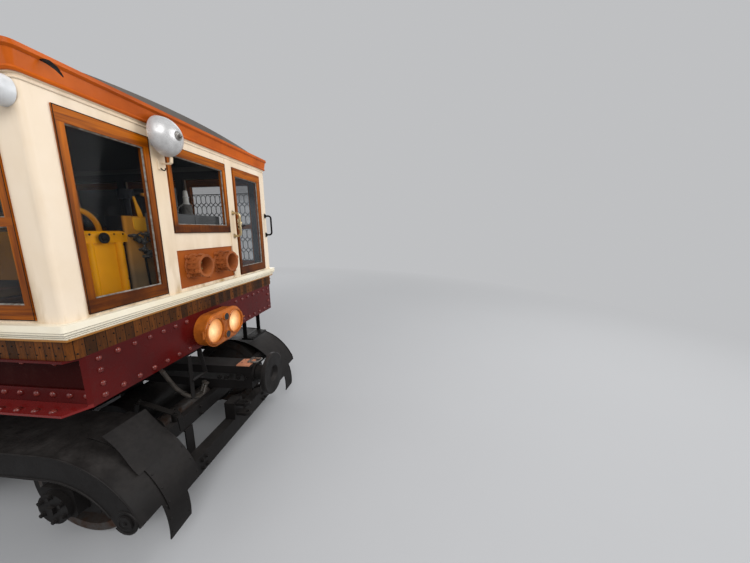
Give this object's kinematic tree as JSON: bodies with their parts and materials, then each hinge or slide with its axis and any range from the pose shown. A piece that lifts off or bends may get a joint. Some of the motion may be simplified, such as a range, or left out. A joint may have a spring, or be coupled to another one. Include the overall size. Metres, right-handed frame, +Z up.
{
  "type": "subway car",
  "caption": "Historic low-height subway motor car: cream wooden body on a swan-neck riveted frame, cab at each end, side sliding doors, bogies with curved wheel fenders",
  "frame": {"origin": "middle of the car at the lowest point of the wheel flanges, 25 mm below the rail's top", "axes": "+X along the car to its front end, +Y to its left side, +Z up"},
  "size_m": [11.1, 2.204, 2.8199],
  "materials": {
    "maroon_frame": "glossy dark maroon paint on riveted steel",
    "plank_wood": "worn brown stained planks",
    "cream_paint": "glossy cream paint on wood",
    "varnished_wood": "orange brown varnished wood",
    "window_glass": "clear old glass",
    "brown_panel": "brown painted panel",
    "brown_iron": "brown painted castings",
    "roof_canvas": "grey painted roof covering",
    "cornice_wood": "red brown painted cornice",
    "bench_wood": "varnished slatted bench wood",
    "ochre_leather": "ochre leather",
    "ochre_paint": "ochre paint on cast cases",
    "lamp_copper": "copper orange paint",
    "lamp_glass": "warm lamp glass",
    "bell_metal": "silver grey bell metal",
    "handle_brass": "worn brass",
    "dark_iron": "dark painted iron",
    "lamp_white": "silver white paint",
    "collector_steel": "bare steel",
    "bogie_black": "greasy dark grey paint",
    "wheel_steel": "dark steel with worn treads"
  },
  "bodies": {
    "car": {"bells": "bell_metal", "brake_stands": "ochre_paint", "bulkheads": "varnished_wood", "cab_seats": "ochre_leather", "cab_steps": "dark_iron", "cable_sockets": "brown_iron", "centre_frame": "maroon_frame", "collector_bases": "dark_iron", "controllers": "ochre_paint", "corner_lamps": "lamp_white", "cornice": "cornice_wood", "door_rails": "dark_iron", "end_frames": "maroon_frame", "end_panels": "brown_panel", "end_plates": "maroon_frame", "end_wall_front": "cream_paint", "end_wall_rear": "cream_paint", "floors": "plank_wood", "grab_handles": "handle_brass", "headlamp_lenses": "lamp_glass", "headlamps": "lamp_copper", "plank_bands": "plank_wood", "roof": "roof_canvas", "saloon_benches": "bench_wood", "side_girders": "maroon_frame", "side_wall_left": "cream_paint", "side_wall_right": "cream_paint", "sill_moulding": "cream_paint", "window_panes": "window_glass", "window_sashes": "varnished_wood"},
    "bogie_front": {"bogie_frame_front": "bogie_black", "axleboxes_front": "bogie_black", "fenders_front": "bogie_black", "motor_front": "bogie_black", "draw_beam_front": "bogie_black", "buffer_front": "bogie_black", "guard_beam_front": "bogie_black", "coupling_front": "bogie_black"},
    "wheels_front_1": {"wheelset_front_1": "wheel_steel"},
    "wheels_front_2": {"wheelset_front_2": "wheel_steel"},
    "door_cab_front": {"cab_door_front": "varnished_wood", "cab_door_pane_front": "window_glass"},
    "bow_front": {"collector_front": "collector_steel"},
    "bogie_rear": {"bogie_frame_rear": "bogie_black", "axleboxes_rear": "bogie_black", "fenders_rear": "bogie_black", "motor_rear": "bogie_black", "draw_beam_rear": "bogie_black", "buffer_rear": "bogie_black", "guard_beam_rear": "bogie_black", "coupling_rear": "bogie_black"},
    "wheels_rear_1": {"wheelset_rear_1": "wheel_steel"},
    "wheels_rear_2": {"wheelset_rear_2": "wheel_steel"},
    "door_cab_rear": {"cab_door_rear": "varnished_wood", "cab_door_pane_rear": "window_glass"},
    "bow_rear": {"collector_rear": "collector_steel"},
    "door_saloon_left": {"saloon_door_left": "varnished_wood", "saloon_door_pane_left": "window_glass"},
    "door_saloon_right": {"saloon_door_right": "varnished_wood", "saloon_door_pane_right": "window_glass"}
  },
  "joints": [
    {"name": "bogie_swivel_front", "type": "hinge", "parent": "car", "child": "bogie_front", "pos_m": [3.91, 0, 0.9247], "axis": [0, 0, 1], "range_deg": [-4, 4]},
    {"name": "wheels_front_1_spin", "type": "hinge", "parent": "bogie_front", "child": "wheels_front_1", "pos_m": [4.66, 0, 0.365], "axis": [0, 1, 0], "continuous": true},
    {"name": "wheels_front_2_spin", "type": "hinge", "parent": "bogie_front", "child": "wheels_front_2", "pos_m": [3.16, 0, 0.365], "axis": [0, 1, 0], "continuous": true},
    {"name": "cab_door_front_hinge", "type": "hinge", "parent": "car", "child": "door_cab_front", "pos_m": [5.012, 0.9075, 1.995], "axis": [0, 0, -1], "range_deg": [0, 90]},
    {"name": "collector_front_raise", "type": "hinge", "parent": "car", "child": "bow_front", "pos_m": [3.3, 0, 2.77], "axis": [0, -1, 0], "range_deg": [0, 20]},
    {"name": "bogie_swivel_rear", "type": "hinge", "parent": "car", "child": "bogie_rear", "pos_m": [-3.91, 0, 0.9247], "axis": [0, 0, 1], "range_deg": [-4, 4]},
    {"name": "wheels_rear_1_spin", "type": "hinge", "parent": "bogie_rear", "child": "wheels_rear_1", "pos_m": [-4.66, 0, 0.365], "axis": [0, 1, 0], "continuous": true},
    {"name": "wheels_rear_2_spin", "type": "hinge", "parent": "bogie_rear", "child": "wheels_rear_2", "pos_m": [-3.16, 0, 0.365], "axis": [0, 1, 0], "continuous": true},
    {"name": "cab_door_rear_hinge", "type": "hinge", "parent": "car", "child": "door_cab_rear", "pos_m": [-5.012, -0.9075, 1.995], "axis": [0, 0, -1], "range_deg": [0, 90]},
    {"name": "collector_rear_raise", "type": "hinge", "parent": "car", "child": "bow_rear", "pos_m": [-3.3, 0, 2.77], "axis": [0, 1, 0], "range_deg": [0, 20]},
    {"name": "saloon_door_left_slide", "type": "slide", "parent": "car", "child": "door_saloon_left", "axis": [-1, 0, 0], "range_m": [0, 1.15]},
    {"name": "saloon_door_right_slide", "type": "slide", "parent": "car", "child": "door_saloon_right", "axis": [1, 0, 0], "range_m": [0, 1.15]}
  ]
}
